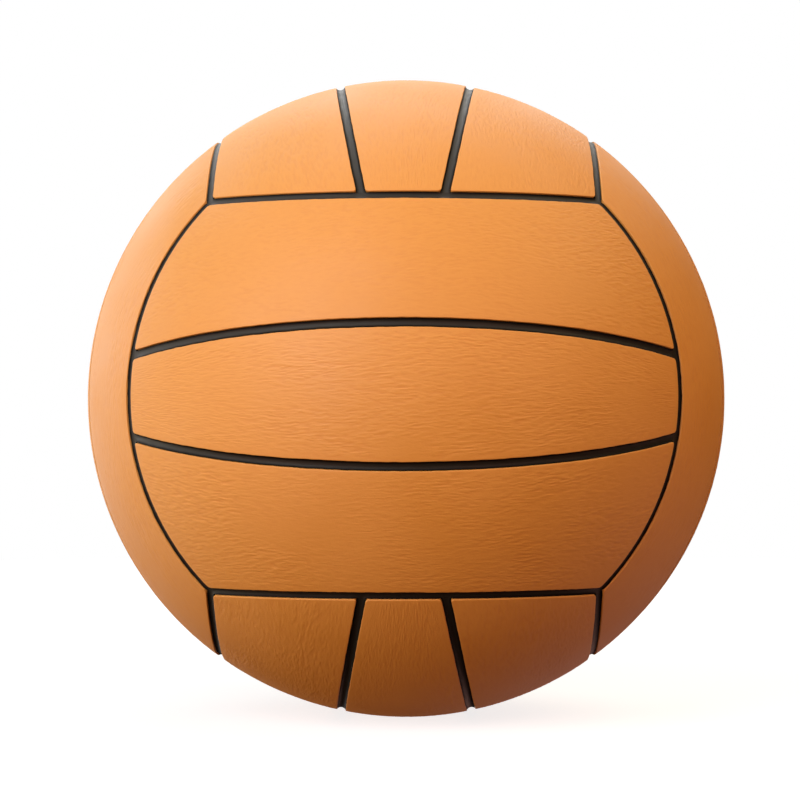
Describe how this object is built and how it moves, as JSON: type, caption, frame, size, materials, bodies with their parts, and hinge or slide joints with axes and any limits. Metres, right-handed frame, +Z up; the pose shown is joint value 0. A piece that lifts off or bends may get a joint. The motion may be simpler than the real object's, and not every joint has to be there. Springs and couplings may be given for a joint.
{
  "type": "water polo ball",
  "caption": "Inflatable water polo ball: orange rubber strip panels with black channels between them over a wound carcass and bladder, with a pull-out needle valve.",
  "frame": {"origin": "the ball's centre", "axes": "+Z up, out through the valve; -Y out through the face that the picture shows, whose strips run along X; the strips of the top and bottom run along Y and those of the left and right along Z"},
  "size_m": [0.22, 0.22, 0.2199],
  "materials": {
    "cover_rubber": "matte orange rubber with a fine brushed grain along each strip",
    "channel_rubber": "satin black rubber",
    "lining_rubber": "matte black rubber sheet",
    "winding_thread": "off-white wound thread",
    "bladder_rubber": "smooth black butyl rubber",
    "valve_rubber": "moulded black rubber"
  },
  "bodies": {
    "ball": {"panel_front_lower": "cover_rubber", "panel_front_middle": "cover_rubber", "panel_front_upper": "cover_rubber", "panel_back_lower": "cover_rubber", "panel_back_middle": "cover_rubber", "panel_back_upper": "cover_rubber", "panel_top_left": "cover_rubber", "panel_top_middle": "cover_rubber", "panel_top_right": "cover_rubber", "panel_bottom_left": "cover_rubber", "panel_bottom_middle": "cover_rubber", "panel_bottom_right": "cover_rubber", "panel_left_front": "cover_rubber", "panel_left_middle": "cover_rubber", "panel_left_back": "cover_rubber", "panel_right_front": "cover_rubber", "panel_right_middle": "cover_rubber", "panel_right_back": "cover_rubber", "edge_strip_front_lower": "channel_rubber", "edge_strip_front_upper": "channel_rubber", "seam_strip_front_lower": "channel_rubber", "seam_strip_front_upper": "channel_rubber", "edge_strip_back_lower": "channel_rubber", "edge_strip_back_upper": "channel_rubber", "seam_strip_back_lower": "channel_rubber", "seam_strip_back_upper": "channel_rubber", "edge_strip_top_left": "channel_rubber", "edge_strip_top_right": "channel_rubber", "seam_strip_top_left": "channel_rubber", "seam_strip_top_right": "channel_rubber", "edge_strip_bottom_left": "channel_rubber", "edge_strip_bottom_right": "channel_rubber", "seam_strip_bottom_left": "channel_rubber", "seam_strip_bottom_right": "channel_rubber", "edge_strip_left_front": "channel_rubber", "edge_strip_left_back": "channel_rubber", "seam_strip_left_front": "channel_rubber", "seam_strip_left_back": "channel_rubber", "edge_strip_right_front": "channel_rubber", "edge_strip_right_back": "channel_rubber", "seam_strip_right_front": "channel_rubber", "seam_strip_right_back": "channel_rubber", "lining": "lining_rubber", "thread_winding": "winding_thread", "bladder": "bladder_rubber", "valve_boot": "valve_rubber"},
    "valve_plug": {"valve_plug": "valve_rubber"}
  },
  "joints": [
    {"name": "valve_plug_pull", "type": "slide", "parent": "ball", "child": "valve_plug", "axis": [0, 0, 1], "range_m": [0, 0.028]}
  ]
}
